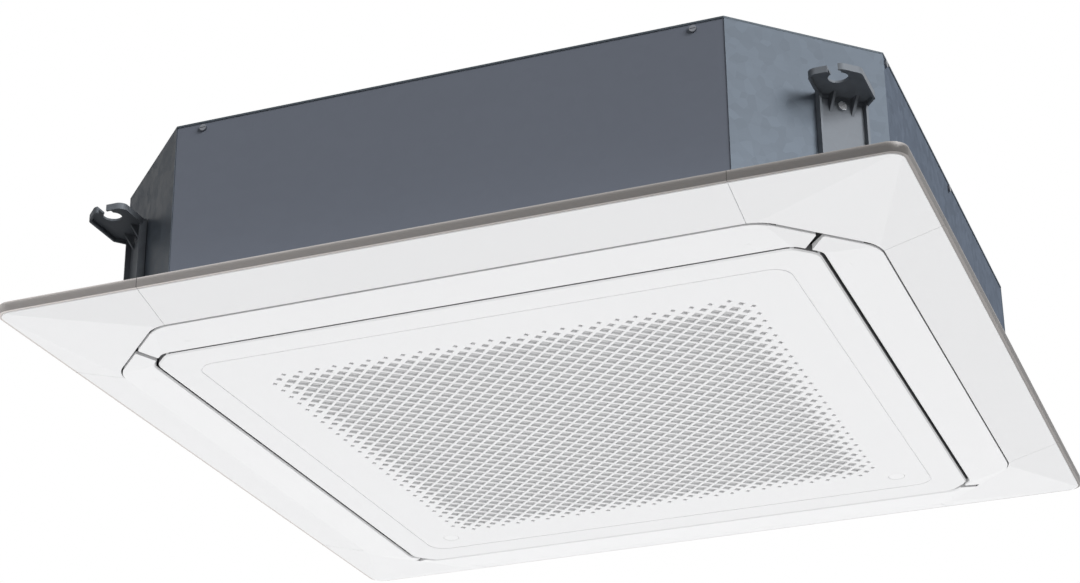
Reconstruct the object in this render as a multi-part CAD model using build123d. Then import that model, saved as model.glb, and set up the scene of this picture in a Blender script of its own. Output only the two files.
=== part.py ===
from build123d import *
import os
from math import atan2, cos, degrees, pi, radians, sin, sqrt

# Ceiling cassette air conditioner with a square decoration panel, four air vanes
# and a perforated intake grille. All sizes are millimetres.
# The origin is the centre of the panel in the ceiling's plane: the panel hangs below
# z = 0 and the casing stands above it. The front side faces -Y.
# One side is drawn facing -Y, and turned by quarter turns about Z for the other three.

# ---- Decoration panel ----------------------------------------------------------
panel_half = 475.0          # centre to the panel's outer edge
panel_corner_r = 18.0       # rounding of the panel's outer corners
band_height = 10.5          # upright grey band round the panel
band_wall = 3.3
skirt_drop = 16.2           # the sloping skirt falls this far below the band
skirt_wall = 2.5
skirt_width = 60.5          # from the panel's outer edge to the octagon, across a side
octagon_half = panel_half - skirt_width  # centre to the skirt's inner edge, at the vanes
octagon_cut = 93.0          # corner cut of that edge, measured along a side
octagon_r = 42.0            # rounding of its corners
cover_length = 167.0        # a corner cover's length along the panel's edge
cover_start = panel_half - cover_length  # a corner cover reaches from here to the corner
cover_seam = 0.5
frame_wall = 2.5
base_top = -12.0            # upper face of the panel's base plate
flange_thick = 2.5
vane_band = 56.0            # from the octagon to the grille's edge
grille_half = octagon_half - vane_band
grille_border = 96.5        # from the grille's edge to the intake opening
intake_half = grille_half - grille_border
intake_corner_r = 30.0
intake_lip = 5.5

# ---- Vanes ---------------------------------------------------------------------
vane_gap = 1.3              # between a vane and the skirt
vane_drop = 1.2             # a vane's outer edge hangs this far below the skirt
vane_corner_gap = 1.8       # between a vane's end and the corner cover
vane_mitre_gap = 7.5        # between the ends of two vanes
vane_tip_r = 2.5            # rounding of those ends
vane_wall = 2.4
grille_gap = 3.4            # between the grille and a vane
vane_inner = grille_half + grille_gap  # centre to a vane's inner edge
vane_inner_r = 18.0
vane_bevel = 1.5            # along a vane's inner lower edge, for the swing past the grille
vane_pin_inset = 6.1
vane_axis_r = vane_inner + vane_pin_inset  # centre to the vane's hinge line
vane_axis_z = -27.0
vane_pin_r = 1.5
vane_pin_length = 15.0
vane_nose_r = 3.0           # round end of each part that holds the hinge line
vane_knuckle = 7.0
outlet_inset = 14.0         # the outlet's near wall is this far inside the hinge line
outlet_inner = vane_axis_r - outlet_inset  # air outlet slot, centre to its near wall
outlet_outer = octagon_half - 4.5
outlet_end = 25.5           # from the outlet's end to the octagon's corner
outlet_reach = octagon_half - octagon_cut - outlet_end  # half the outlet's length
outlet_corner_r = 12.0
vane_motor_width = 16.0
vane_motor_r = 6.0
vane_rib_thick = 2.0
vane_rib_step = 100.0       # spacing of the ribs on a vane's back
vane_rib_count = 5

# ---- Intake grille -------------------------------------------------------------
grille_cut = 21.5
grille_corner_r = 20.0
grille_bevel = 1.5          # round the grille's lower edge
grille_face = -33.5         # lowest face of the whole object
grille_wall = 2.3
grille_flange = 9.5         # height of the grille's upturned edge
line_inset = 35.5
line_half = grille_half - line_inset  # fine line moulded round the perforated field
line_corner_r = 22.0
line_width = 1.4
line_depth = 0.8
hole_rank = 11              # ranks of holes from the centre to the border
hole_pitch = (intake_half + 4.2) / hole_rank  # half the spacing of the diamond holes
hole_edge = 1.2 * hole_pitch  # side of one diamond hole
hinge_inset = 8.5           # from the grille's front edge to its hinge line
hinge_y = -(grille_half - hinge_inset)  # grille hinge line
hinge_z = -27.0
hinge_x = 220.0
hinge_pin_r = 2.0
hinge_gap = 0.06            # running clearance of every pin, on the radius
lug_width = 10.0
ear_width = 4.0
side_play = 0.6
lug_round = 3.8

# ---- Grille latches ------------------------------------------------------------
latch_inset = 73.0          # from the grille's edges to the latches
latch_x = grille_half - latch_inset - 0.5
latch_y = grille_half - latch_inset + 0.5
button_r = 9.2
button_gap = 0.4
button_thick = 2.8
button_travel = 2.5
stem_r = 4.0
stem_top = -13.0
boss_wall = 3.0
boss_top = -19.5
boss_roof = 1.5
spring_r = 6.6
spring_wire_r = 0.5
spring_turns = 5
clip_wall = 0.8

# ---- Air filter ----------------------------------------------------------------
filter_overlap = 13.0       # the filter reaches this far past the intake opening
filter_half = intake_half + filter_overlap
filter_thick = 7.0
filter_border = 12.0
filter_bars = 5
filter_bar_width = 4.0
mesh_thick = 1.0
rail_wall = 2.0
fit_gap = 0.5               # loose fit between parts that only sit together

# ---- Casing --------------------------------------------------------------------
panel_overhang = 48.0       # the panel reaches this far past the casing
casing_half = panel_half - panel_overhang  # centre to the folded edge of the top plate
casing_cut = 127.0          # corner cut, measured along a side
casing_top = 195.0
casing_bottom = -9.0
sheet = 1.0
top_lip = 14.0              # the lid's lip, inside the side plates
lid_hem = 2.0               # height of the lid's edge outside them
bottom_flange = 10.0
corner_overlap = 12.0
dish_depth = 8.0
bead_r = 3.0                # pressed stiffening beads on the top plate
bead_middle_r = 260.0
bead_length = 170.0
bead_count = 8
screw_head_r = 3.7
screw_head_height = 2.6
screw_r = 2.1
screw_length = 9.0
screw_inset = 32.0          # from the front's ends to its two screws
front_screw_x = casing_half - casing_cut - screw_inset  # front and back screws, either side of the middle
side_screw_low_y = -(casing_half - casing_cut - 10.0)  # the two screws on the right and left
side_screw_mid_y = 4.0
screw_below_top = 8.0

# ---- Hanger brackets -----------------------------------------------------------
hanger_x = casing_half - 29.0  # hanging rods: half their spacing across
hanger_y = casing_half - 46.0  # half their spacing front to back
jaw_r = 10.0
jaw_mouth = 10.6
hook_z = casing_top - 66.0
hook_thick = 2.5
hook_rim = 4.5              # the hook's edge is turned down this far
hook_left = 26.0            # the hook's outline, from the middle of its rod
hook_right = 25.0
hook_front = 23.0
hook_bevel = 16.0
hook_back = 46.0
hook_root = 62.0
hook_corner_r = 9.0
channel_start = 97.0        # along the corner plate, from the front or back edge
channel_width = 55.0
channel_flange = 8.0
channel_bottom = 4.0
foot_length = 26.0
bolt_r = 2.5
bolt_head_r = 5.5
bolt_head_height = 4.0
gusset_height = 18.0
gusset_reach = 15.0
gusset_thick = 3.0
gusset_inset = 15.0         # from the channel's edges to its two gussets

# ---- Air side ------------------------------------------------------------------
liner_wall = 15.0
liner_top = casing_top - 17.0
top_liner_thick = 6.0
liner_gap = 2.5             # between the liner and the sheet metal
coil_room = 123.0           # from the casing's face to the coil
coil_outer = casing_half - coil_room
coil_depth = 42.0
coil_inner = coil_outer - coil_depth
coil_outer_r = 80.0
coil_inner_r = 38.0
coil_bottom = 12.0
coil_top = liner_top - 8.0
coil_open = coil_inner - 57.0  # the coil's two ends stop this far from the centre lines
coil_plate = 1.5
pan_top = 30.0
pan_floor = 8.0
pan_hole_half = coil_inner - 16.0
pan_hole_r = 40.0
trough_inner = coil_inner - 6.0
trough_outer = coil_outer + 8.0
sump_start = coil_outer - 32.0  # the pump's sump, from here to its outer wall along both sides
sump_reach = outlet_inner - 4.0
sump_floor = 4.0
tube_r = 4.8
tube_levels = 7
bell_half = coil_inner - 6.0
bell_wall = 2.0
bell_corner_r = 12.0
fan_room = 47.0             # between the coil and the fan
fan_r = coil_inner - fan_room
fan_eye_r = fan_r - 37.0
eye_gap = 6.0               # between the bell mouth and the fan's eye
throat_r = fan_eye_r - eye_gap
bell_base_r = throat_r + 23.0
throat_top = 44.0

# ---- Fan -----------------------------------------------------------------------
motor_top = liner_top - 6.0
motor_bottom = motor_top - 54.0
fan_wall = 2.0
fan_lip_z = 38.0
back_z = motor_top - 12.0
shroud_z = back_z - 74.0
blade_count = 9
blade_wall = 3.0
blade_inner_r = 0.567 * fan_r
dome_top_r = 0.447 * fan_r
dome_floor_r = 0.344 * fan_r
dome_floor_z = back_z - 62.0
hub_r = 15.0
hub_bottom = dome_floor_z - 8.0
hub_top = dome_floor_z + 8.0
shaft_r = 6.0
shaft_gap = 0.06
shaft_bottom = hub_bottom - 12.0
shaft_top = motor_bottom + 32.0
motor_r = dome_floor_r - 14.0
motor_ear_reach = motor_r + 24.0
motor_ear_thick = 4.0
motor_boss = 8.0
dish_r = motor_ear_reach + 38.0  # sunk round the motor in the top plate
gland_y = motor_r - 14.0    # the lead leaves the motor here
grommet_r = 9.0

# ---- Drain ---------------------------------------------------------------------
pump_x = -(coil_outer + 21.0)
pump_y = coil_outer + 21.0
pump_r = 22.0
pump_body_r = 14.0
pump_bottom = 12.0
pump_top = 112.0
pump_waist = 60.0
pump_chamber = 26.0
impeller_r = 9.0
impeller_pin_r = 1.5
spout_z = 52.0
float_x = pump_x + 39.0
float_y = pump_y + 12.5
float_r = 11.0
float_height = 14.0
float_bottom = 14.3
float_rise = 12.0           # travel of the float up to the stop on its stem
float_stem_r = 3.0
drain_x = pump_x + 100.0
drain_z = liner_top - 28.0
spigot_r = 16.0
spigot_length = 34.0
hose_r = 9.0
hose_wall = 2.4
hose_bend = 14.0

# ---- Refrigerant pipes ---------------------------------------------------------
pipe_z = 104.0
gas_y = coil_open + 65.0
liquid_y = coil_open + 31.0
gas_pipe_r = 7.94
liquid_pipe_r = 4.76
gas_union_r = 11.1
liquid_union_r = 7.9
union_length = 18.0
pipe_reach = 40.0
pipe_wall = 1.0
header_below = 60.0
header_above = 40.0

# ---- Electrical parts ----------------------------------------------------------
box_half_length = 150.0
box_inner_y = pan_hole_half - 48.0
box_outer_y = pan_hole_half - 4.0
box_top = 27.0
box_wall = 1.2
board_end = box_half_length - 90.0
terminal_length = 64.0
terminal_width = 22.0
terminal_pitch = 12.0
board_thick = 1.6
inlet_x = 120.0
inlet_z = 60.0
inlet_r = 11.0
grommet_wall = 2.5
lead_r = 2.5                # the fan motor's lead
lead_bend = 25.0
lead_x = motor_r / 2
lead_down_y = outlet_inner - 18.0  # the lead goes down here, behind the coil
groove_gap = 1.5

SIDES = ("front", "right", "back", "left")
CORNERS = ((1, -1), (1, 1), (-1, 1), (-1, -1))

# ---- Places worked out from the sizes above --------------------------------------
band_z = -band_height
skirt_z = band_z - skirt_drop
frame_half = panel_half - band_wall
base_bottom = base_top - frame_wall
skin_half = casing_half - sheet
inner_half = skin_half - sheet
liner_half = inner_half - liner_wall
lead_low_z = casing_bottom + sheet + lead_r + groove_gap
lead_high_z = (motor_top + liner_top) / 2
header_x = -(coil_outer - 4)


def block(x0, x1, y0, y1, z0, z1):
    """A box between two corners."""
    return Pos((x0 + x1) / 2, (y0 + y1) / 2, (z0 + z1) / 2) * Box(x1 - x0, y1 - y0, z1 - z0)


def rod(x, y, r, z0, z1):
    """An upright cylinder."""
    return Pos(x, y, (z0 + z1) / 2) * Cylinder(r, z1 - z0)


def rod_x(y, z, r, x0, x1):
    """A cylinder along X."""
    return Pos((x0 + x1) / 2, y, z) * Rot(0, 90, 0) * Cylinder(r, x1 - x0)


def rod_y(x, z, r, y0, y1):
    """A cylinder along Y."""
    return Pos(x, (y0 + y1) / 2, z) * Rot(90, 0, 0) * Cylinder(r, y1 - y0)


def flat(points, rounding=None):
    """A flat face on an outline; rounding maps a radius to the corners it rounds."""
    face = make_face(Polyline(*points, close=True))
    for radius, wanted in (rounding or {}).items():
        corners = [v for v in face.vertices() if wanted(v.X, v.Y)]
        face = fillet(corners, radius)
    return face


def upright(face, z0, z1):
    return Pos(0, 0, z0) * extrude(face, amount=z1 - z0, dir=(0, 0, 1))


def outline(points, z0, z1, rounding=None):
    """An upright prism on an outline."""
    return upright(flat(points, rounding), z0, z1)


def section_along_x(points, x0, x1):
    """A (y, z) section run along X."""
    face = make_face(Polyline(*[(x0, y, z) for y, z in points], close=True))
    return extrude(face, amount=x1 - x0, dir=(1, 0, 0))


def turned(points):
    """A (radius, z) outline turned about Z."""
    face = make_face(Polyline(*[(r, 0, z) for r, z in points], close=True))
    return revolve(face, Axis.Z)


def octagon(half, cut):
    """A square of a half width with its corners cut off."""
    near = half - cut
    return [(near, -half), (half, -near), (half, near), (near, half),
            (-near, half), (-half, near), (-half, -near), (-near, -half)]


def grown(half, cut, by):
    """Half width and cut of an octagon moved outwards everywhere by the same distance."""
    return half + by, cut + by * (2 - sqrt(2))


def eight(half, cut, z0, z1, r=0.0):
    """An upright octagonal prism, with rounded corners where r is given."""
    return outline(octagon(half, cut), z0, z1, {r: lambda x, y: True} if r else None)


def splayed(half, cut, r, z0, z1, by):
    """A rounded octagonal prism whose lower end stands out by a margin from its upper end."""
    wide = grown(half, cut, by)
    ends = [flat(octagon(*wide), {r + by: lambda x, y: True}), flat(octagon(half, cut), {r: lambda x, y: True})]
    return loft([Pos(0, 0, z0) * ends[0], Pos(0, 0, z1) * ends[1]], ruled=True)


def square(half, z0, z1, r=0.0):
    """An upright square prism about the centre."""
    points = [(half, -half), (half, half), (-half, half), (-half, -half)]
    return outline(points, z0, z1, {r: lambda x, y: True} if r else None)


def on_side(shape, k):
    """Turns a shape drawn on the front side to side k."""
    return Rot(0, 0, 90 * k) * shape


def sides(shape):
    """The same shape on all four sides."""
    return [on_side(shape, k) for k in range(4)]


def polyhedron(faces):
    """A closed solid from the corner points of its flat faces."""
    return Solid(Shell([Face(Wire.make_polygon(points, close=True)) for points in faces]))


def write(name, shape):
    """Writes one sub-part."""
    shape.label = name
    export_step(shape, f"parts/{name}.step")
    print(f"{name:24s} {len(shape.solids())} solid(s)  {shape.volume / 1000:10.2f} cm3")


# ==== Places that several parts share ============================================

def latch_place(a):
    """Centre of the latch on side a of the grille."""
    return a * latch_x, latch_y


def bracket_middle():
    """The middle of a bracket, along its corner plate."""
    return channel_start + channel_width / 2


def bracket_screw_heights():
    """Heights of the two screws that hold a bracket."""
    return hook_z - 10, channel_bottom + 40


def foot_bolts():
    """Places of the four bolts that hold the panel to the brackets' feet."""
    along = bracket_middle()
    out = foot_length / 2 + 2
    x = casing_half - casing_cut + (along + out) / sqrt(2)
    y = casing_half - (along - out) / sqrt(2)
    return [(a * x, b * y) for a, b in CORNERS]


def motor_bolt_places():
    """Three places round the fan motor."""
    r = motor_ear_reach - grommet_r
    return [(r * cos(radians(90 + 120 * n)), r * sin(radians(90 + 120 * n))) for n in range(3)]


def screw_places():
    """(side, along the side, height) of the screws through the top plate's folded edge."""
    z = casing_top - screw_below_top
    places = [(k, t, z) for k in (0, 2) for t in (-front_screw_x, front_screw_x)]
    places += [(k, t, z) for k in (1, 3) for t in (side_screw_low_y, side_screw_mid_y)]
    return places


# ==== Decoration panel ==========================================================

def skirt_block():
    """The panel's outer form: a square at the band, falling in flat facets to the octagon."""
    high = [(panel_half * a, panel_half * b) for a, b in CORNERS]
    low = octagon(octagon_half, octagon_cut)
    faces = [[(x, y, 0) for x, y in high], [(x, y, skirt_z) for x, y in low]]
    for k in range(4):
        tip = high[k]
        after = high[(k + 1) % 4]
        faces.append([(*tip, 0), (*after, 0), (*after, band_z), (*tip, band_z)])
        corner_a, corner_b = low[2 * k], low[2 * k + 1]
        side_end = low[(2 * k + 2) % 8]
        faces.append([(*tip, band_z), (*corner_a, skirt_z), (*corner_b, skirt_z)])
        faces.append([(*tip, band_z), (*corner_b, skirt_z), (*side_end, skirt_z), (*after, band_z)])
    return polyhedron(faces)


def skirt_skin():
    """The thin sloping skirt with its inner wall, all round."""
    form = skirt_block()
    skin = form - Pos(0, 0, skirt_wall) * form
    skin &= square(frame_half, skirt_z - 1, 0, panel_corner_r - band_wall)
    opening = grown(octagon_half, octagon_cut, 0)
    wall_out = grown(octagon_half, octagon_cut, skirt_wall)
    wall = eight(*wall_out, skirt_z, base_bottom, octagon_r + skirt_wall)
    wall &= form
    hole = eight(*opening, skirt_z - 1, 1, octagon_r)
    return (skin + wall) - hole


def corner_region(k, grow):
    """The upright column that holds corner k of the panel."""
    a, b = CORNERS[k]
    low = cover_start - grow
    high = panel_half + 10
    xs = sorted((a * low, a * high))
    ys = sorted((b * low, b * high))
    return block(*xs, *ys, grille_face - 5, 5)


def vane_holder(t0, t1):
    """A hanger under the base plate whose round nose holds the vane's pin."""
    r, z = vane_axis_r, vane_axis_z
    reach = r + 3 * vane_nose_r
    sides_yz = [(-(r - vane_nose_r), z), (-(r - vane_nose_r), base_bottom),
                (-reach, base_bottom), (-(r + vane_nose_r), z)]
    holder = section_along_x(sides_yz, t0, t1) + rod_x(-r, z, vane_nose_r, t0, t1)
    return holder - rod_x(-r, z, vane_pin_r + hinge_gap, t0 - 1, t1 + 1)


def grille_ears():
    """Two pairs of ears that hold the grille's hinge pins."""
    ears = []
    inner = lug_width / 2 + side_play
    for x in (-hinge_x, hinge_x):
        for x0, x1 in ((x - inner - ear_width, x - inner), (x + inner, x + inner + ear_width)):
            leg = block(x0, x1, hinge_y - lug_round, hinge_y + lug_round, hinge_z, base_bottom)
            leg += rod_x(hinge_y, hinge_z, lug_round, x0, x1)
            ears.append(leg - rod_x(hinge_y, hinge_z, hinge_pin_r, x0 - 1, x1 + 1))
    return ears


def outlet_slot(z0, z1, grow=0.0):
    """The air outlet of the front side, as a tool that cuts it."""
    reach = outlet_reach + grow
    points = [(-reach, -outlet_outer - grow), (reach, -outlet_outer - grow),
              (reach, -outlet_inner + grow), (-reach, -outlet_inner + grow)]
    return outline(points, z0, z1, {outlet_corner_r: lambda x, y: True})


def make_panel():
    skirt = skirt_skin()
    covers = []
    for k in range(4):
        covers.append(skirt & corner_region(k, -cover_seam / 2))
        skirt -= corner_region(k, cover_seam / 2)

    well = grown(casing_half, casing_cut, 3.0)
    well_out = grown(*well, frame_wall)
    flange = square(frame_half, -flange_thick, 0, panel_corner_r - band_wall) - eight(*well, -20, 1)
    rim = square(frame_half, band_z, 0, panel_corner_r - band_wall)
    rim -= square(frame_half - frame_wall, band_z - 1, 1, panel_corner_r - band_wall - frame_wall)
    for k in range(4):
        rim -= corner_region(k, 0) & block(-500, 500, -500, 500, band_z - 1, band_z + skirt_wall + 0.4)
    well_wall = eight(*well_out, base_bottom, 0) - eight(*well, base_bottom - 1, 1)
    base = eight(*well_out, base_bottom, base_top)
    base -= square(intake_half, base_bottom - 1, base_top + 1, intake_corner_r)
    for slot in sides(outlet_slot(base_bottom - 1, base_top + 1)):
        base -= slot
    lip = square(intake_half + frame_wall, base_bottom - intake_lip, base_top,
                 intake_corner_r + frame_wall)
    lip -= square(intake_half, base_bottom - intake_lip - 1, base_top + 1, intake_corner_r)

    frame = flange + rim + well_wall + base + lip + skirt
    bearing = vane_holder(-outlet_reach - vane_knuckle - 1 - 8, -outlet_reach - vane_knuckle - 1)
    for shape in sides(bearing) + grille_ears():
        frame += shape
    for a in (-1, 1):
        x, y = latch_place(a)
        clip = stem_r + 1 + clip_wall + fit_gap
        frame -= block(x - clip, x + clip, y - clip, y + clip, base_bottom - 1, base_top + 1)
    for x, y in foot_bolts():
        frame -= rod(x, y, bolt_r + 0.3, -flange_thick - 1, 1)
    write("panel_frame", frame)
    for k, cover in enumerate(covers):
        cover -= rim
        write(f"corner_cover_{k + 1}", cover)

    band = square(panel_half, band_z, 0, panel_corner_r)
    band -= square(frame_half, band_z - 1, 1, panel_corner_r - band_wall)
    write("edge_band", band)

    seal = eight(casing_half, casing_cut, base_top, casing_bottom)
    seal -= square(bell_half + 4, base_top - 1, casing_bottom + 1, bell_corner_r + 4)
    for slot in sides(outlet_slot(base_top - 1, casing_bottom + 1, 1.0)):
        seal -= slot
    for a in (-1, 1):
        x, y = latch_place(a)
        seal -= block(x - 9, x + 9, y - 9, y + 9, base_top - 1, casing_bottom + 1)
    write("panel_seal", seal)


# ==== Vanes =====================================================================

def vane_lower_face(r):
    """Height of a vane's lower face at a distance from the centre."""
    inner = grille_face + 0.4
    outer = skirt_z - vane_drop
    return inner + (r - vane_inner) * (outer - inner) / (octagon_half - vane_inner)


def make_vane():
    """The front vane, with its two knuckles and pins."""
    outer = grown(octagon_half, octagon_cut, -vane_gap)
    extra = (vane_corner_gap - vane_gap) * sqrt(2)
    outer = (outer[0], outer[1] + extra)
    inner = grown(grille_half, grille_cut, vane_inner - grille_half)
    z0, z1 = grille_face - 1, base_bottom - 1
    plan = eight(*outer, z0, z1, octagon_r) - eight(*inner, z0 - 1, z1 + 1, vane_inner_r)
    mitre = vane_mitre_gap / sqrt(2)
    reach = octagon_half + 20
    plan &= outline([(0, -mitre), (reach - mitre, -reach), (mitre - reach, -reach)], z0 - 1, z1 + 1)
    tips = [e for e in plan.edges().filter_by(Axis.Z)
            if abs(abs(e.center().X) + e.center().Y + mitre) < vane_tip_r / 2]
    plan = fillet(tips, vane_tip_r)
    r0, r1 = inner[0] - 40, outer[0] + 10
    low0, low1 = vane_lower_face(r0), vane_lower_face(r1)
    slab = section_along_x([(-r0, low0), (-r1, low1), (-r1, low1 + vane_wall),
                            (-r0, low0 + vane_wall)], -reach, reach)
    ends = section_along_x([(-r0, low0), (-r1, low1), (-r1, low1 + 3 * vane_wall),
                            (-r0, low0 + 3 * vane_wall)], -reach, reach)
    facet_start = outlet_reach + vane_knuckle + vane_motor_width + 14
    ends -= block(-facet_start, facet_start, -reach, 0, z0 - 20, z1 + 20)
    vane = (slab + ends) & plan
    corner_in = (2 * inner[0] - inner[1]) / sqrt(2)
    corner_out = (2 * octagon_half - octagon_cut) / sqrt(2)
    edge_z = vane_lower_face(octagon_half)
    slope = (edge_z - vane_lower_face(vane_inner)) / (corner_out - corner_in)
    far = 60.0
    facet_in = vane_lower_face(vane_inner) - far * slope
    facet_out = edge_z + far * slope
    for turn in (45, -45):
        cutter = section_along_x([(-(corner_in - far), facet_in), (-(corner_out + far), facet_out),
                                  (-(corner_out + far), -60), (-(corner_in - far), -60)], -70, 70)
        vane -= Rot(0, 0, turn) * cutter
    past = vane_bevel + 1
    low = vane_lower_face(vane_inner)
    vane -= splayed(*inner, vane_inner_r, low - 1, low + vane_bevel, past)
    foot_z = vane_lower_face(vane_axis_r) + 1
    knuckle_yz = [(-(vane_axis_r - vane_nose_r), vane_axis_z), (-(vane_axis_r + vane_nose_r), vane_axis_z),
                  (-(vane_axis_r + 4 * vane_nose_r), foot_z), (-(vane_axis_r - vane_nose_r), foot_z)]
    for a in (-1, 1):
        x0, x1 = sorted((a * outlet_reach, a * (outlet_reach + vane_knuckle)))
        vane += section_along_x(knuckle_yz, x0, x1)
        vane += rod_x(-vane_axis_r, vane_axis_z, vane_nose_r, x0, x1)
        p0, p1 = sorted((a * outlet_reach, a * (outlet_reach + vane_knuckle + vane_pin_length)))
        vane += rod_x(-vane_axis_r, vane_axis_z, vane_pin_r, p0, p1)
    r2, r3 = vane_axis_r + 4, octagon_half - 8
    for n in range(vane_rib_count):
        x = (n - (vane_rib_count - 1) / 2) * vane_rib_step
        vane += section_along_x([(-r2, vane_lower_face(r2) + 1), (-r3, vane_lower_face(r3) + 1),
                                 (-r3, vane_lower_face(r3) + 4), (-r2, vane_lower_face(r2) + 6)],
                                x - vane_rib_thick / 2, x + vane_rib_thick / 2)
    return vane


def make_vane_motor():
    """Geared motor at the front vane's right end, under the base plate."""
    x0 = outlet_reach + vane_knuckle + 1
    x1 = x0 + vane_motor_width
    gearbox = vane_holder(x0, x1)
    body_y = vane_axis_r + 16
    top = base_bottom
    gearbox += block(x0, x1, -(body_y + 11), -(vane_axis_r - vane_nose_r), top - 4, top)
    gearbox += rod_x(-body_y, top - vane_motor_r, vane_motor_r, x0, x1)
    return gearbox


def make_vanes():
    vane = make_vane()
    motor = make_vane_motor()
    for k, side in enumerate(SIDES):
        write(f"vane_{side}", on_side(vane, k))
    write("vane_motors", Compound(children=sides(motor)))


# ==== Intake grille, latches and filter =========================================

def make_grille():
    top = grille_face + grille_wall
    bevel_top = grille_face + grille_bevel
    grille = splayed(grille_half, grille_cut, grille_corner_r, grille_face, bevel_top, -grille_bevel)
    grille += eight(grille_half, grille_cut, bevel_top, grille_face + grille_flange, grille_corner_r)
    inside = grown(grille_half, grille_cut, -grille_wall)
    grille -= eight(*inside, top, grille_face + grille_flange + 1, grille_corner_r - grille_wall)
    line = square(line_half, grille_face - 1, grille_face + line_depth, line_corner_r)
    line -= square(line_half - line_width, grille_face - 2, grille_face + 2, line_corner_r - line_width)
    grille -= line
    notch = lug_width / 2 + side_play + ear_width + 1.5
    for x in (-hinge_x, hinge_x):
        grille -= block(x - notch, x + notch, -grille_half - 1, hinge_y, top, 0)
        lug = block(x - lug_width / 2, x + lug_width / 2, hinge_y - lug_round, hinge_y + lug_round,
                    top - 0.5, hinge_z)
        lug += rod_x(hinge_y, hinge_z, lug_round, x - lug_width / 2, x + lug_width / 2)
        grille += lug
        grille -= rod_x(hinge_y, hinge_z, hinge_pin_r + hinge_gap, x - lug_width, x + lug_width)
    rail = filter_half + fit_gap
    for a in (-1, 1):
        x0, x1 = sorted((a * rail, a * (rail + rail_wall)))
        grille += block(x0, x1, -filter_half + 12, filter_half - 22, top - 0.5, top + filter_thick)
    grille += block(-filter_half + 30, filter_half - 30, -rail - rail_wall, -rail, top - 0.5,
                    top + filter_thick)
    for a in (-1, 1):
        x, y = latch_place(a)
        boss = rod(x, y, button_r + button_gap + boss_wall, top - 0.5, boss_top + boss_roof)
        boss -= rod(x, y, button_r + button_gap, grille_face - 1, boss_top)
        grille += boss
        grille -= rod(x, y, button_r + button_gap, grille_face - 1, boss_top)
        grille -= rod(x, y, stem_r + 0.4, boss_top - 1, boss_top + boss_roof + 1)
    cutter = Rot(0, 0, 45) * Rectangle(hole_edge, hole_edge)
    places = [(i * hole_pitch, j * hole_pitch) for i in range(-hole_rank, hole_rank + 1)
              for j in range(-hole_rank, hole_rank + 1) if (i + j) % 2 == 0]
    field = Sketch() + [Pos(x, y) * cutter for x, y in places]
    field &= Rectangle(2 * (hole_rank + 0.4) * hole_pitch, 2 * (hole_rank + 0.4) * hole_pitch)
    grille -= Pos(0, 0, grille_face - 1) * extrude(field, amount=grille_wall + 2)
    write("intake_grille", grille)

    pins = []
    for x in (-hinge_x, hinge_x):
        end = lug_width / 2 + side_play + ear_width
        pins.append(rod_x(hinge_y, hinge_z, hinge_pin_r, x - end, x + end))
    write("hinge_pins", Compound(children=pins))


def make_latches():
    clips = []
    for a, side in ((-1, "left"), (1, "right")):
        x, y = latch_place(a)
        cap_top = grille_face + button_thick
        button = rod(x, y, button_r, grille_face + 0.2, cap_top)
        button += rod(x, y, stem_r, cap_top - 0.5, stem_top)
        roof = boss_top + boss_roof
        button += rod(x, y, stem_r + 0.7, roof + 0.1, roof + 2)
        write(f"latch_button_{side}", button)

        low = cap_top + spring_wire_r
        high = boss_top - spring_wire_r
        path = Helix(pitch=(high - low) / spring_turns, height=high - low, radius=spring_r)
        start = path @ 0
        ring = Plane(origin=start, z_dir=path % 0) * Circle(spring_wire_r)
        spring = Pos(x, y, low) * sweep(ring, path=path)
        write(f"latch_spring_{side}", spring)

        gap = stem_r + 1
        top = stem_top + button_travel + 1
        wide = gap + clip_wall
        clip = block(x - wide, x + wide, y - 4, y + 4, base_bottom - 2.5, top + clip_wall)
        clip -= block(x - gap, x + gap, y - 5, y + 5, base_bottom - 5, top)
        clips.append(clip)
    gap = (high - low) / spring_turns - 2 * spring_wire_r
    print("latch spring: wire", 2 * spring_wire_r, "mm, least gap between turns", round(gap, 2),
          "mm, pressed", round(gap - button_travel / spring_turns, 2), "mm")
    write("latch_clips", Compound(children=clips))


def make_filter():
    z0 = grille_face + grille_wall + 0.1
    net_top = z0 + mesh_thick
    z1 = z0 + filter_thick - 0.6
    frame = square(filter_half, z0, z1, 6.0)
    frame -= square(filter_half - filter_border, z0 - 1, z1 + 1, 3.0)
    frame -= square(filter_half - filter_border / 2, z0 - 1, net_top, 3.0)
    span = 2 * (filter_half - filter_border)
    step = span / (filter_bars + 1)
    for n in range(1, filter_bars + 1):
        at = -span / 2 + n * step
        half = filter_bar_width / 2
        frame += block(at - half, at + half, -span / 2, span / 2, net_top, z1 - 1)
        frame += block(-span / 2, span / 2, at - half, at + half, net_top, z1 - 1)
    for a in (-1, 1):
        x, y = latch_place(a)
        frame -= rod(x, y, button_r + button_gap + boss_wall + 1.5, z0 - 1, z1 + 1)
    write("filter_frame", frame)
    write("filter_mesh", square(filter_half - filter_border / 2, z0, net_top, 3.0))


# ==== Casing ====================================================================

def casing_tube(outer_by, z0, z1):
    """An octagonal sheet tube whose outer face lies outer_by beyond the side plates."""
    out = grown(skin_half, casing_cut, outer_by)
    inn = grown(*out, -sheet)
    return eight(*out, z0, z1) - eight(*inn, z0 - 1, z1 + 1)


def side_screw(t, z):
    """A sheet screw in the front side, its head outwards."""
    y = -skin_half
    slot = block(t - 3, t + 3, y - screw_head_height - 1, y - screw_head_height + 0.8, z - 0.4, z + 0.4)
    head = rod_y(t, z, screw_head_r, y - screw_head_height, y) - slot
    return head + rod_y(t, z, screw_r, y, y + screw_length)


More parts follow.
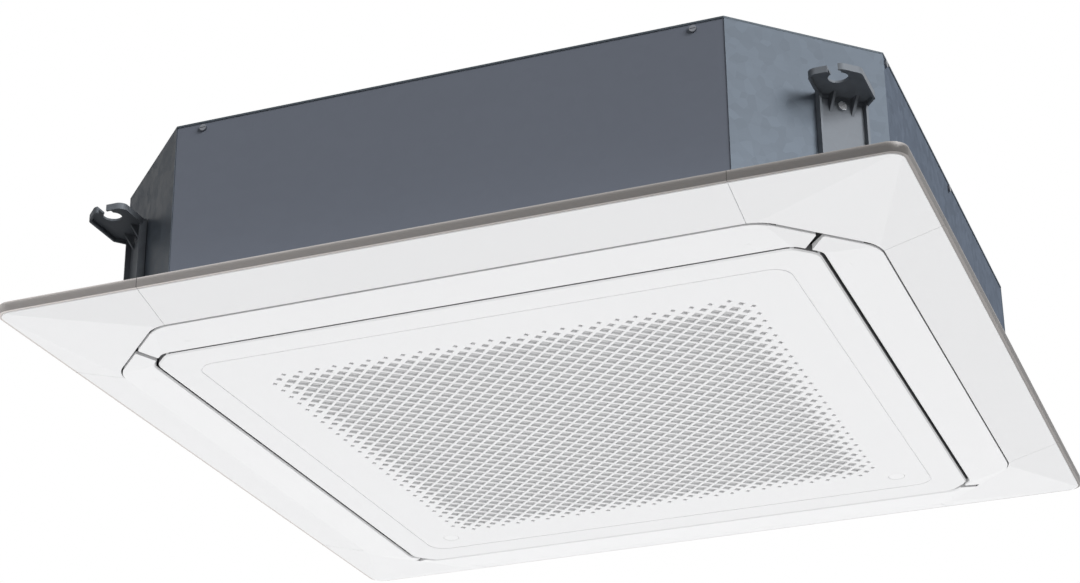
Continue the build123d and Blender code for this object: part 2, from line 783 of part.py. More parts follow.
def make_casing():
    near = skin_half - casing_cut
    z1 = casing_top - sheet
    wall = casing_tube(0, casing_bottom, z1)
    flange_out = grown(inner_half, casing_cut, 0)
    flange_in = grown(inner_half, casing_cut, -bottom_flange)
    flange = eight(*flange_out, casing_bottom, casing_bottom + sheet)
    flange -= eight(*flange_in, casing_bottom - 1, casing_bottom + 2)
    reach = near + corner_overlap / sqrt(2)
    front_region = block(-reach, reach, -casing_half - 5, -skin_half + 40, casing_bottom - 1, casing_top)
    flange_region = block(-near, near, -casing_half, -skin_half + 40, casing_bottom - 1, casing_top)
    for k, side in enumerate(SIDES):
        plate = (wall & on_side(front_region, k)) + (flange & on_side(flange_region, k))
        for side_k, t, z in screw_places():
            if side_k == k:
                plate -= on_side(rod_y(t, z, screw_r + 0.2, -casing_half - 5, -skin_half + 10), k)
        if side == "left":
            plate -= block(-casing_half - 5, -inner_half + 5, liquid_y - 22, gas_y + 20,
                           pipe_z - 24, pipe_z + 24)
        if side == "back":
            plate -= rod_y(inlet_x, inlet_z, inlet_r + grommet_wall, inner_half - 5, casing_half + 5)
            plate -= rod_y(drain_x, drain_z, spigot_r + 1, inner_half - 5, casing_half + 5)
        write(f"side_plate_{side}", plate)

    corner_wall = casing_tube(sheet, casing_bottom + 0.5, casing_top - lid_hem - 0.3)
    corners = []
    for k, (a, b) in enumerate(CORNERS):
        far = casing_half + 5
        start = near + 0.6
        region = block(*sorted((a * start, a * far)), *sorted((b * start, b * far)),
                       casing_bottom - 1, casing_top)
        corner = corner_wall & region
        for z in bracket_screw_heights():
            corner -= mirrored(corner_frame(rod_y(bracket_middle(), z, screw_r + 0.1, -8, 14)), a, b)
        corners.append(corner)
    write("corner_plates", Compound(children=corners))

    lid_out = grown(skin_half, casing_cut, sheet)
    lid = eight(*lid_out, casing_top - lid_hem, casing_top)
    lid -= eight(*grown(*lid_out, -sheet), casing_top - lid_hem - 1, casing_top - sheet)
    lip_out = grown(inner_half, casing_cut, -0.1)
    lip = eight(*lip_out, casing_top - top_lip, casing_top - sheet / 2)
    lid += lip - eight(*grown(*lip_out, -sheet), casing_top - top_lip - 1, casing_top)
    lid -= rod(0, 0, dish_r, casing_top - sheet - 1, casing_top + 1)
    z = casing_top
    lid += turned([(dish_r + 1, z), (dish_r - dish_depth, z - dish_depth), (0, z - dish_depth),
                   (0, z - dish_depth - sheet), (dish_r - dish_depth - 0.4, z - dish_depth - sheet),
                   (dish_r, z - sheet), (dish_r + 1, z - sheet)])
    bead = Pos(bead_middle_r, 0, z) * Rot(0, 90, 0) * Cylinder(bead_r, bead_length)
    bead &= block(0, casing_half, -bead_r, bead_r, z - sheet / 2, z + bead_r)
    for n in range(bead_count):
        lid += Rot(0, 0, 360 * (n + 0.5) / bead_count) * bead
    for x, y in motor_bolt_places():
        lid -= rod(x, y, bolt_r + 0.3, z - dish_depth - 3, z + 1)
    for k, t, height in screw_places():
        lid -= on_side(rod_y(t, height, screw_r + 0.2, -casing_half - 5, -skin_half + 10), k)
    write("top_plate", lid)

    screws = [on_side(side_screw(t, height), k) for k, t, height in screw_places()]
    write("casing_screws", Compound(children=screws))


# ==== Hanger brackets ===========================================================

def corner_frame(shape):
    """Moves a shape drawn on the corner plate's face to the front right corner.

    It is drawn with X along the plate from its front edge, -Y outwards and Z up."""
    near = casing_half - casing_cut
    lift = sheet * (sqrt(2) - 1)
    return Pos(near + lift / 2, -casing_half - lift / 2, 0) * Rot(0, 0, 45) * shape


def hook_plate():
    """The pressed hook that lies under the hanging rod's nut, its edge turned down."""
    corner = casing_half - casing_cut
    line = corner + casing_half + 2 * sheet
    x0, x1 = hanger_x - hook_left, hanger_x + hook_right
    base_y0 = line - x0
    base_x1 = line - (hanger_y - hook_root)
    front = hanger_y + hook_front
    points = [(x0, -base_y0), (x0, -front), (x1 - hook_bevel, -front), (x1, hook_bevel - front),
              (x1, hook_back - hanger_y), (base_x1, hook_root - hanger_y)]
    face = flat(points, {hook_corner_r: lambda x, y: y < -hanger_y,
                         hook_corner_r / 2: lambda x, y: x > x1 - 0.1 and y > -hanger_y})
    low = hook_z - hook_rim
    plate = upright(face, low, hook_z + hook_thick)
    plate -= upright(offset(face, amount=-hook_thick), low - 1, hook_z)
    plate -= rod(hanger_x, -hanger_y, jaw_r, low - 1, hook_z + hook_thick + 1)
    plate -= block(hanger_x - jaw_mouth / 2, hanger_x + jaw_mouth / 2, -hanger_y - 60, -hanger_y,
                   low - 1, hook_z + hook_thick + 1)
    return plate


def make_bracket():
    """The front right hanger bracket: a channel on the corner plate, its hook and its foot."""
    x0 = channel_start
    x1 = x0 + channel_width
    t = hook_thick
    web = block(x0, x1, -t, 0, channel_bottom, hook_z + t)
    web += block(x0, x0 + t, -channel_flange, 0, channel_bottom, hook_z)
    web += block(x1 - t, x1, -channel_flange, 0, channel_bottom, hook_z)
    web += block(x0, x1, -foot_length, 0, channel_bottom, channel_bottom + t)
    for x in (x0 + gusset_inset, x1 - gusset_inset):
        web += section_along_x([(-t, hook_z - gusset_height), (-t, hook_z + 1), (-gusset_reach, hook_z + 1)],
                               x - gusset_thick / 2, x + gusset_thick / 2)
    for z in bracket_screw_heights():
        web -= rod_y(bracket_middle(), z, screw_r + 0.2, -t - 1, 1)
    bracket = corner_frame(web) + hook_plate()
    x, y = foot_bolts()[0]
    bracket -= rod(x, y, bolt_r + 0.3, channel_bottom - 1, channel_bottom + t + 1)
    return bracket


def mirrored(shape, a, b):
    """A shape of the front right corner, carried to corner (a, b)."""
    if a < 0 and b > 0:
        return Rot(0, 0, 180) * shape
    if a < 0:
        return mirror(shape, about=Plane.YZ)
    if b > 0:
        return mirror(shape, about=Plane.XZ)
    return shape


def make_brackets():
    bracket = make_bracket()
    mid = bracket_middle()
    screws = []
    bolts = []
    for z in bracket_screw_heights():
        screw = rod_y(mid, z, screw_head_r + 1.0, -hook_thick - 3.2, -hook_thick)
        screw += rod_y(mid, z, screw_r, -hook_thick, 7)
        screws.append(corner_frame(screw))
    x, y = foot_bolts()[0]
    low = -flange_thick
    bolt = rod(x, y, bolt_r, low, channel_bottom + hook_thick + 5)
    bolt += Pos(x, y, low - bolt_head_height / 2) * extrude(RegularPolygon(bolt_head_r, 6),
                                                            amount=bolt_head_height / 2, both=True)
    for k, (a, b) in enumerate(CORNERS):
        write(f"hanger_bracket_{k + 1}", mirrored(bracket, a, b))
        bolts.append(mirrored(bolt, a, b))
    write("panel_bolts", Compound(children=bolts))
    write("bracket_screws", Compound(children=[mirrored(s, a, b) for s in screws for a, b in CORNERS]))


# ==== Air side ==================================================================

def make_bell_mouth():
    """The ring that leads air into the fan, on a square plate under the drain pan."""
    z1 = casing_bottom - 0.5
    z0 = z1 - bell_wall
    plate = square(bell_half, z0, z1, bell_corner_r)
    plate -= rod(0, 0, bell_base_r - bell_wall, z0 - 1, z1 + 1)
    rise = throat_top - z0
    spread = bell_base_r - throat_r
    steps = 10
    outer = []
    for n in range(steps + 1):
        turn = radians(90 * n / steps)
        outer.append((throat_r + spread * (1 - sin(turn)), z0 + rise * (1 - cos(turn))))
    inner = [(r - bell_wall, z) for r, z in outer]
    bell = plate + turned(inner + outer[::-1])
    n = box_half_length + 1
    bell -= block(-n, n, box_inner_y - 1, box_outer_y + 1, z0 - 1, z1 + 1)
    for a, b in CORNERS:
        bell -= rod(a * (bell_half - 5), b * (bell_half - 5), screw_r, z0 - 1, z1 + 1)
    write("bell_mouth", bell)


def make_drain_pan():
    z0 = casing_bottom + sheet
    out = grown(inner_half, casing_cut, -0.4)
    pan = eight(*out, z0, pan_top)
    pan -= square(pan_hole_half, z0 - 1, pan_top + 1, pan_hole_r)
    for slot in sides(outlet_slot(z0 - 1, pan_top + 1)):
        pan -= slot
    trough = square(trough_outer, pan_floor, pan_top + 1, coil_outer_r + 8)
    trough -= square(trough_inner, pan_floor - 1, pan_top + 2, coil_inner_r)
    pan -= trough
    pan -= block(-sump_reach, -sump_start, sump_start, sump_reach, sump_floor, pan_top + 1)
    x0, x1 = lead_x - lead_r - groove_gap, lead_x + lead_r + groove_gap
    far = lead_down_y + lead_r + groove_gap
    pan -= block(x0, x1, lead_down_y - lead_r - groove_gap, far, z0 - 1, pan_top + 1)
    pan -= block(x0, x1, trough_outer + 5, far, z0 - 1, lead_low_z + lead_bend)
    pan -= block(x0, x1, pan_hole_half - 1, far, z0 - 1, lead_low_z + lead_r + 2 * groove_gap)
    write("drain_pan", pan)


def make_liner():
    z0 = pan_top + 0.3
    out = grown(inner_half, casing_cut, -liner_gap)
    inn = grown(inner_half, casing_cut, -liner_wall)
    liner = eight(*out, z0, liner_top) - eight(*inn, z0 - 1, liner_top + 1)
    top = eight(*out, liner_top, liner_top + top_liner_thick)
    liner += top - rod(0, 0, dish_r + 14, 0, casing_top)
    liner -= block(-casing_half, -liner_half + 40, liquid_y - 26, gas_y + 26, pipe_z - 28, pipe_z + 28)
    liner -= rod_y(drain_x, drain_z, spigot_r + 3, liner_half - 40, casing_half)
    liner -= rod_y(inlet_x, inlet_z, inlet_r + grommet_wall + 3, liner_half - 40, casing_half)
    for z in bracket_screw_heights():
        for a, b in CORNERS:
            liner -= mirrored(corner_frame(rod_y(bracket_middle(), z, screw_r + 1, -5, 12)), a, b)
    for k, t, z in screw_places():
        liner -= on_side(rod_y(t, z, screw_r + 1, -casing_half, -liner_half + 2), k)
    write("foam_liner", liner)


def make_coil():
    """The heat exchanger: a ring of finned pipe, open at the left back corner."""
    ring = square(coil_outer, coil_bottom, coil_top, coil_outer_r)
    ring -= square(coil_inner, coil_bottom - 1, coil_top + 1, coil_inner_r)
    ring -= block(-coil_outer - 1, -coil_open, coil_open, coil_outer + 1, 0, coil_top + 1)
    write("coil_fins", ring)

    t = coil_plate
    start = coil_open + 0.1
    bends_a = block(-start - t, -start, coil_inner - 2, coil_outer + 2, coil_bottom, coil_top)
    bends_b = block(-coil_outer - 2, -coil_inner + 2, start, start + t, coil_bottom, coil_top)
    gap = (coil_outer - coil_inner) / 2
    mid = (coil_inner + coil_outer) / 2
    step = (coil_top - coil_bottom) / tube_levels
    bend = revolve(Plane.XZ * Pos(gap / 2, 0) * Circle(tube_r), Axis.Z, 180)
    for n in range(tube_levels):
        z = coil_bottom + (n + 0.5) * step
        bends_a += Pos(-coil_open - t, mid, z) * Rot(0, 0, 90) * bend
        bends_b += Pos(-mid, coil_open + t, z) * bend
    write("coil_ends", Compound(children=[bends_a, bends_b]))


def pipe_run(y, r, union_r):
    """A pipe from its header inside the casing to its flare union outside the left side."""
    end = -casing_half - pipe_reach
    tip = end - union_length
    pipe = rod_x(y, pipe_z, r, end, header_x) + rod_x(y, pipe_z, union_r, tip, end)
    pipe += rod_x(y, pipe_z, union_r + 2.5, end, end + 6)
    pipe -= rod_x(y, pipe_z, r - pipe_wall, tip - 1, header_x - r)
    return pipe + rod(header_x, y, r, pipe_z - header_below, pipe_z + header_above)


def inlet_grommet():
    """The ring that lines the cable inlet in the back of the casing."""
    ring = rod_y(inlet_x, inlet_z, inlet_r + grommet_wall - 0.1, inner_half - 2, casing_half + 2)
    ring += rod_y(inlet_x, inlet_z, inlet_r + grommet_wall + 3, casing_half, casing_half + 3)
    return ring - rod_y(inlet_x, inlet_z, inlet_r, inner_half - 3, casing_half + 4)


def make_pipes():
    write("gas_pipe", pipe_run(gas_y, gas_pipe_r, gas_union_r))
    write("liquid_pipe", pipe_run(liquid_y, liquid_pipe_r, liquid_union_r))
    x1 = -casing_half - 0.2
    plate = block(x1 - 1.2, x1, liquid_y - 28, gas_y + 26, pipe_z - 30, pipe_z + 30)
    rings = []
    for y, r in ((gas_y, gas_pipe_r), (liquid_y, liquid_pipe_r)):
        plate -= rod_x(y, pipe_z, r + grommet_wall, x1 - 3, x1 + 1)
        rings.append(rod_x(y, pipe_z, r + grommet_wall + 2, x1 - 3.2, x1 - 1.3)
                     + rod_x(y, pipe_z, r + grommet_wall - 0.1, x1 - 3.2, x1 + 3)
                     - rod_x(y, pipe_z, r + 0.1, x1 - 5, x1 + 5))
    write("pipe_plate", plate)
    rings.append(inlet_grommet())
    write("rubber_grommets", Compound(children=rings))


# ==== Fan =======================================================================

def shroud_line(offset):
    """The fan's shroud from its eye to its rim, as points of radius and height."""
    steps = 8
    points = [(fan_eye_r + offset, fan_lip_z)]
    for n in range(steps + 1):
        turn = radians(90 * n / steps)
        r = fan_eye_r + (fan_r - fan_eye_r) * (1 - cos(turn))
        z = fan_lip_z + 14 + (shroud_z - fan_lip_z - 14) * sin(turn)
        points.append((r + offset * cos(turn), z - offset * sin(turn)))
    return points


def blade_outline():
    """One backward curved blade, as a thick arc from its inner to its outer radius."""
    steps = 8
    rows = []
    for n in range(steps + 1):
        r = blade_inner_r + (fan_r - 1.5 - blade_inner_r) * n / steps
        turn = radians(-42 * (n / steps) ** 1.2)
        rows.append((r, turn))
    half = blade_wall / 2
    left = [(r * cos(a) - half * sin(a), r * sin(a) + half * cos(a)) for r, a in rows]
    right = [(r * cos(a) + half * sin(a), r * sin(a) - half * cos(a)) for r, a in rows]
    return left + right[::-1]


def make_fan():
    shroud = turned(shroud_line(fan_wall / 2) + shroud_line(-fan_wall / 2)[::-1])
    back = turned([(fan_r, back_z), (fan_r, back_z + fan_wall), (dome_top_r, back_z + fan_wall),
                   (dome_floor_r, dome_floor_z + 2 * fan_wall), (0, dome_floor_z + 2 * fan_wall),
                   (0, dome_floor_z), (dome_floor_r + 2, dome_floor_z), (dome_top_r + 2, back_z)])
    hub = rod(0, 0, hub_r, hub_bottom, hub_top)
    envelope = turned([(blade_inner_r - 5, fan_lip_z + 20), (fan_eye_r, fan_lip_z + 20)]
                      + shroud_line(0)[2:] + [(fan_r, back_z + 0.5), (blade_inner_r - 5, back_z + 0.5)])
    blade = outline(blade_outline(), fan_lip_z, back_z + fan_wall) & envelope
    fan = back + hub + shroud
    for n in range(blade_count):
        fan += Rot(0, 0, 360 * n / blade_count) * blade
    fan -= rod(0, 0, shaft_r, hub_bottom - 1, hub_top + 1)
    write("turbo_fan", fan)

    shaft = rod(0, 0, shaft_r, shaft_bottom, shaft_top)
    write("fan_shaft", shaft)
    nut = extrude(RegularPolygon(11, 6), amount=hub_bottom - shaft_bottom - 2)
    nut = Pos(0, 0, shaft_bottom + 2) * (nut - extrude(Circle(shaft_r), amount=30))
    write("fan_nut", nut)


def make_motor():
    motor = rod(0, 0, motor_r, motor_bottom, motor_top)
    motor += rod(0, 0, shaft_r + 12, motor_bottom - motor_boss, motor_bottom)
    seam = (motor_bottom + motor_top) / 2
    motor += rod(0, 0, motor_r + 3, seam - 3, seam + 3)
    ear_z = motor_top - motor_ear_thick
    bolts = []
    grommets = []
    seat = casing_top - dish_depth - sheet
    for x, y in motor_bolt_places():
        turn = degrees(atan2(y, x))
        arm = block(0, motor_ear_reach - grommet_r, -grommet_r - 2, grommet_r + 2, ear_z, motor_top)
        motor += Rot(0, 0, turn) * arm + rod(x, y, grommet_r + 2, ear_z, motor_top)
    for x, y in motor_bolt_places():
        motor -= rod(x, y, bolt_r + 2.5, ear_z - 1, motor_top + 1)
        grommets.append(rod(x, y, grommet_r, motor_top, seat) - rod(x, y, bolt_r, 0, 300))
        bolts.append(rod(x, y, bolt_r, ear_z - 1, casing_top + 1)
                     + rod(x, y, bolt_head_r + 1.5, ear_z - 5, ear_z - 0.1))
    motor -= rod(0, 0, shaft_r + shaft_gap, motor_bottom - motor_boss - 1, shaft_top + 2)
    half = lead_high_z - motor_top - 0.4
    motor += block(lead_x - half, lead_x + half, gland_y - 12, gland_y, motor_top, lead_high_z + half)
    write("fan_motor", motor)
    write("motor_grommets", Compound(children=grommets))
    write("motor_bolts", Compound(children=bolts))


# ==== Drain =====================================================================

def make_drain():
    roof = pump_bottom + pump_chamber
    pump = rod(pump_x, pump_y, pump_body_r, pump_bottom, pump_waist)
    pump += rod(pump_x, pump_y, pump_r, pump_waist, pump_top)
    pump -= rod(pump_x, pump_y, impeller_r + 1.0, pump_bottom - 1, roof)
    pump -= rod(pump_x, pump_y, impeller_pin_r + hinge_gap, roof - 1, roof + 14)
    pump += block(pump_x - 8, pump_x + 8, pump_y - 8, pump_y + 8, pump_top, liner_top)
    pump += rod_x(pump_y, spout_z, hose_r - 2.5, pump_x + pump_body_r - 2, pump_x + pump_body_r + 12)
    write("drain_pump", pump)

    wheel = rod(pump_x, pump_y, impeller_pin_r, pump_bottom + 1, roof + 12)
    wheel += rod(pump_x, pump_y, 2 * impeller_pin_r, pump_bottom + 2, roof - 3)
    for n in range(4):
        blade = block(0, impeller_r, -0.8, 0.8, pump_bottom + 3, pump_bottom + 14)
        wheel += Pos(pump_x, pump_y, 0) * Rot(0, 0, 90 * n) * blade
    write("pump_impeller", wheel)

    x = drain_x
    inner_y = liner_half - 26
    start_x = pump_x + pump_body_r + 12
    path = FilletPolyline((start_x, pump_y, spout_z), (x, pump_y, spout_z), (x, pump_y + 8, drain_z - 30),
                          (x, inner_y, drain_z), (x, inner_y + 22, drain_z), radius=hose_bend)
    ring = Plane(origin=path @ 0, z_dir=path % 0)
    hose = sweep(ring * Circle(hose_r), path=path)
    hose -= sweep(ring * Circle(hose_r - hose_wall), path=path)
    print("drain hose: length", round(path.length), "mm, its bends of radius", hose_bend, "mm")
    write("drain_hose", hose)

    spigot = rod_y(x, drain_z, spigot_r, casing_half - 6, casing_half + spigot_length)
    spigot += rod_y(x, drain_z, hose_r + 3, inner_y + 8, casing_half - 5)
    spigot += rod_y(x, drain_z, spigot_r + 6, casing_half + 0.2, casing_half + 3)
    spigot -= rod_y(x, drain_z, hose_r + 0.1, inner_y + 7, casing_half + spigot_length + 1)
    write("drain_spigot", spigot)

    low = float_bottom
    high = low + float_height + float_rise
    x, y = float_x, float_y
    stem = rod(x, y, float_stem_r, low - 2.3, high + 40)
    stem += rod(x, y, float_stem_r + 4, low - 2.3, low - 0.3)
    stem += rod(x, y, float_stem_r + 3, high + 0.3, high + 2)
    stem += block(x - 9, x + 9, y - 5, y + 5, high + 34, high + 40)
    stem += block(x - 4, x + 4, y - 3, y + 3, high + 40, liner_top)
    write("float_switch", stem)
    ball = rod(x, y, float_r, low, low + float_height)
    ball -= rod(x, y, float_stem_r + 0.4, low - 1, high)
    write("float", ball)


# ==== Electrical parts ==========================================================

def make_electrics():
    z0 = casing_bottom
    w = box_wall
    n = box_half_length
    case = block(-n, n, box_inner_y, box_outer_y, z0, box_top)
    case -= block(-n + w, n - w, box_inner_y + w, box_outer_y - w, z0 - 1, box_top - w)
    case -= rod_y(lead_x, z0 + 5, lead_r + 0.5, box_outer_y - 4, box_outer_y + 1)
    case -= rod_y(inlet_x, z0 + 12, 7, box_outer_y - 4, box_outer_y + 1)
    write("control_box", case)
    cover = block(-n, n, box_inner_y, box_outer_y, z0 - w - 0.1, z0 - 0.1)
    write("control_cover", cover)
    board_z = box_top - 8
    board = block(-n + 12, board_end, box_inner_y + 5, box_outer_y - 5, board_z, board_z + board_thick)
    for k in range(5):
        x = -n + 30 + 38 * k
        size = 6 + 4 * (k % 3)
        y = box_inner_y + 18 + 4 * (k % 2)
        board += block(x - size, x + size, y - 8, y + 8, board_z - 16 + size, board_z)
    write("circuit_board", board)
    x0 = board_end + 16
    y0 = box_inner_y + 8
    terminal = block(x0, x0 + terminal_length, y0, y0 + terminal_width, box_top - 16, box_top - w)
    for k in range(5):
        x = x0 + 4 + terminal_pitch * k
        terminal -= block(x, x + 8, y0 + 4, y0 + terminal_width - 4, box_top - 17, box_top - 11)
    write("terminal_block", terminal)


def make_lead():
    """The fan motor's lead: over the coil, down behind it and under the pan to the control box."""
    path = FilletPolyline((lead_x, gland_y, lead_high_z), (lead_x, lead_down_y, lead_high_z),
                          (lead_x, lead_down_y, lead_low_z), (lead_x, box_outer_y - 8, lead_low_z),
                          radius=lead_bend)
    ring = Plane(origin=path @ 0, z_dir=path % 0)
    lead = sweep(ring * Circle(lead_r), path=path)
    print("motor lead: length", round(path.length), "mm, both bends of radius", lead_bend,
          "mm, volume over section times length", round(lead.volume / (pi * lead_r ** 2 * path.length), 4))
    write("motor_lead", lead)


def main():
    os.makedirs("parts", exist_ok=True)
    make_panel()
    make_vanes()
    make_grille()
    make_latches()
    make_filter()
    make_casing()
    make_brackets()
    make_bell_mouth()
    make_drain_pan()
    make_liner()
    make_coil()
    make_pipes()
    make_fan()
    make_motor()
    make_drain()
    make_electrics()
    make_lead()


main()
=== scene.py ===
# %% [markdown]
# # A ceiling cassette air conditioner
# The unit hangs in a ceiling: a sheet steel casing above, and a white panel below with a
# perforated intake grille and four vanes. Its solids were drawn elsewhere and are loaded
# here as a fixed frame, in metres. This script gives every solid its finish, remakes the
# grille with its fine holes, and sets up the floor, the light and the camera.
# %% Load the frame
from math import acos, cos, pi, radians, sin, sqrt, tan

import bpy
import bmesh
from mathutils import Matrix, Vector


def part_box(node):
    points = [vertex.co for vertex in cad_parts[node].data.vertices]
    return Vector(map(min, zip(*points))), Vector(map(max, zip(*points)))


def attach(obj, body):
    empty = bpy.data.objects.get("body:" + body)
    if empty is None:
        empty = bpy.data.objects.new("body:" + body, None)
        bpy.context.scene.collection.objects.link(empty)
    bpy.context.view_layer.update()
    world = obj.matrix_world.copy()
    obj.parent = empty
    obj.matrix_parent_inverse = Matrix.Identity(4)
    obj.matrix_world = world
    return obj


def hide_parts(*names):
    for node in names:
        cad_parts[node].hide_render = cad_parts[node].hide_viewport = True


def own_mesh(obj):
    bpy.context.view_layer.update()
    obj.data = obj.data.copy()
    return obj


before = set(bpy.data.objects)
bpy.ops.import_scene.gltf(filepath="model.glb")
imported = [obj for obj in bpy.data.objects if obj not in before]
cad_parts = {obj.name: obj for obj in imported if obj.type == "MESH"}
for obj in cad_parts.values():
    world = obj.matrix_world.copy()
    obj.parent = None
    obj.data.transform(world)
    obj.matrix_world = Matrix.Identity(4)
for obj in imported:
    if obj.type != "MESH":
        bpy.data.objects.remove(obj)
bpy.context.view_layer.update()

mm = 0.001


# %% [markdown]
# ## Shader sums as Python
# A finish is a small sum: a base colour, plus a bit of cloud, plus a bit of grain. Drawn as
# nodes such a sum is hard to read, so a small class wraps one socket and lets +, - and *
# add the Math nodes. Finish holds one material and makes any other node in one call.
# %% A socket with arithmetic
class Wire:
    """One output socket; arithmetic on it adds Math nodes."""

    def __init__(self, finish, socket):
        self.finish = finish
        self.socket = socket

    def sum_with(self, operation, first, second):
        return self.finish.node("ShaderNodeMath", {"operation": operation}, {0: first, 1: second})

    def __add__(self, other):
        return self.sum_with("ADD", self, other)

    __radd__ = __add__

    def __sub__(self, other):
        return self.sum_with("SUBTRACT", self, other)

    def __rsub__(self, other):
        return self.sum_with("SUBTRACT", other, self)

    def __mul__(self, other):
        return self.sum_with("MULTIPLY", self, other)

    __rmul__ = __mul__

    def power(self, other):
        return self.sum_with("POWER", self, other)

    def above(self, limit):
        return self.sum_with("GREATER_THAN", self, limit)

    def size(self):
        return self.sum_with("ABSOLUTE", self, 0.0)

    def largest(self, other):
        return self.sum_with("MAXIMUM", self, other)


class Finish:
    """One procedural material, built on the Principled shader."""

    def __init__(self, name, roughness=0.5, metallic=0.0):
        self.material = bpy.data.materials.new(name)
        self.material.use_nodes = True
        self.tree = self.material.node_tree
        self.shader = self.tree.nodes["Principled BSDF"]
        self.shader.inputs["Roughness"].default_value = roughness
        self.shader.inputs["Metallic"].default_value = metallic
        self.place = self.node("ShaderNodeTexCoord", {}, {}, "Object")

    def node(self, kind, settings, sockets, output=0):
        made = self.tree.nodes.new(kind)
        for key, value in settings.items():
            setattr(made, key, value)
        for key, value in sockets.items():
            self.feed(made.inputs[key], value)
        return Wire(self, made.outputs[output])

    def feed(self, socket, value):
        if isinstance(value, Wire):
            self.tree.links.new(value.socket, socket)
        else:
            socket.default_value = value

    def noise(self, scale, detail=2.0, place=None):
        sockets = {"Vector": place or self.place, "Scale": scale, "Detail": detail}
        return self.node("ShaderNodeTexNoise", {}, sockets)

    def cells(self, scale, output="Distance"):
        return self.node("ShaderNodeTexVoronoi", {}, {"Vector": self.place, "Scale": scale}, output)

    def grey_of(self, colour):
        return self.node("ShaderNodeSeparateColor", {}, {"Color": colour}, "Red")

    def stretched(self, x, y, z):
        return self.node("ShaderNodeVectorMath", {"operation": "MULTIPLY"}, {0: self.place, 1: (x, y, z)})

    def along(self, axis, source=None):
        return self.node("ShaderNodeSeparateXYZ", {}, {"Vector": source or self.place}, axis)

    def facing(self, axis):
        """How far the surface faces along an axis of the solid, from -1 to 1."""
        return self.along(axis, self.node("ShaderNodeTexCoord", {}, {}, "Normal"))

    def blend(self, factor, low, high):
        """A colour between two, by a factor from 0 to 1."""
        return self.node("ShaderNodeMix", {"data_type": "RGBA"}, {0: factor, 6: (*low, 1), 7: (*high, 1)}, 2)

    def set(self, **values):
        for key, value in values.items():
            self.feed(self.shader.inputs[key.replace("_", " ")], value)

    def bump(self, height, depth):
        self.set(Normal=self.node("ShaderNodeBump", {}, {"Height": height, "Distance": depth}))


def shade(colour, by):
    """A colour made lighter or darker."""
    return tuple(min(1.0, c * by) for c in colour)


# %% [markdown]
# ## Moulded plastic
# The panel is injection moulded in white plastic with a very fine spark-eroded grain, which
# keeps its gloss soft. A plain white would look like paper, so the tone drifts by a percent
# or two over the panel, and a fine noise gives the grain. The gaps between the white pieces
# are deeply shaded on the real unit, so the walls that show in them carry painted shade,
# darker by their place. The grey band's joints are fine dark lines, also drawn by place, and
# the band carries painted light, lighter to the left and darker to the right.
# %% Plastic finishes
grain = 1400.0
grain_depth = 0.02 * mm
joint_half = 0.4 * mm


def moulded(name, colour, roughness=0.36, drift=0.02):
    f = Finish(name)
    cloud = f.noise(5.0, 3.0)
    f.set(Base_Color=f.blend(cloud, shade(colour, 1 - drift), shade(colour, 1 + drift)))
    f.set(Roughness=roughness + 0.10 * f.noise(40.0))
    f.bump(f.noise(grain, 1.0), grain_depth)
    return f.material


def painted_gap_shade(name, colour, dark, half, cut, above, inside):
    """White plastic with painted shade: dark above a height, inside or outside an octagon."""
    f = Finish(name)
    x, y = f.along("X").size(), f.along("Y").size()
    # painted shade: this region is written dark above the height
    outside = x.largest(y).above(half).largest((x + y).above(2 * half - cut))
    shade_region = 1.0 - outside if inside else outside
    plain = 1.0 - shade_region * f.along("Z").above(above)
    f.set(Base_Color=f.blend(plain * (0.98 + 0.04 * f.noise(5.0, 3.0)), dark, colour))
    f.set(Roughness=0.36 + 0.10 * f.noise(40.0), Specular_IOR_Level=0.25)
    f.bump(f.noise(grain, 1.0), grain_depth)
    return f.material


def seamed(name, colour, seam):
    """Grey plastic with fine dark joints at one distance from the middle, and painted light, lighter to the
    left and darker to the right.
    """
    f = Finish(name, roughness=0.5)
    x, y = f.along("X").size(), f.along("Y").size()
    beside_x, beside_y = [(distance - seam).size().above(joint_half) for distance in (x, y)]
    tone = beside_x * beside_y * (0.94 + 0.06 * f.noise(5.0, 3.0))
    # painted light: lighter to the left, darker to the right
    painted_light_leftwards = 0.45 - 0.55 * f.along("X")
    f.set(Base_Color=f.blend(tone * painted_light_leftwards, shade(colour, 0.3), shade(colour, 1.9)))
    f.bump(f.noise(grain, 1.0), grain_depth)
    return f.material


white = (0.84, 0.84, 0.845)
shadow_black = (0.09, 0.09, 0.093)
shadow_grey = (0.20, 0.20, 0.205)
# painted shade: near black on the panel's walls inside the vane openings, grey on the grille's upturned outer
# edge
panel_plastic = painted_gap_shade("panel_plastic", white, shadow_black, half=414.8 * mm, cut=93 * mm,
                      above=-26.4 * mm, inside=True)
grille_plastic = painted_gap_shade("grille_plastic", white, shadow_grey, half=357.8 * mm, cut=21.5 * mm,
                       above=-32.0 * mm, inside=False)
white_vane = moulded("white_vane_plastic", white, roughness=0.33)
warm_grey = seamed("warm_grey_plastic", (0.43, 0.405, 0.39), seam=308 * mm)
pale_plastic = moulded("pale_inner_plastic", (0.62, 0.63, 0.63), roughness=0.45, drift=0.05)
black_plastic = moulded("black_plastic", (0.035, 0.035, 0.038), roughness=0.45, drift=0.10)
print("plastic finishes:", panel_plastic.name, warm_grey.name, pale_plastic.name, black_plastic.name)


# %% [markdown]
# ## Galvanised steel
# Zinc freezes on hot-dipped sheet in flat crystals, the spangle, some lighter than others.
# Voronoi cells have the same look: one random grey per crystal. Long faint rolling marks and
# soft clouds lie over them. Aged zinc is nearly dull, so little metal and sheen are set. The
# corner and right sheets are darker copies with painted shade, and fall paints light along
# the casing. The lid's hem carries painted shade on its upright faces.
# %% Metal finishes
crystals_per_metre = 95.0
painted_light_fall_per_metre = 1.17  # the casing is 0.854 m wide, so the painted light of fall runs once from side to side
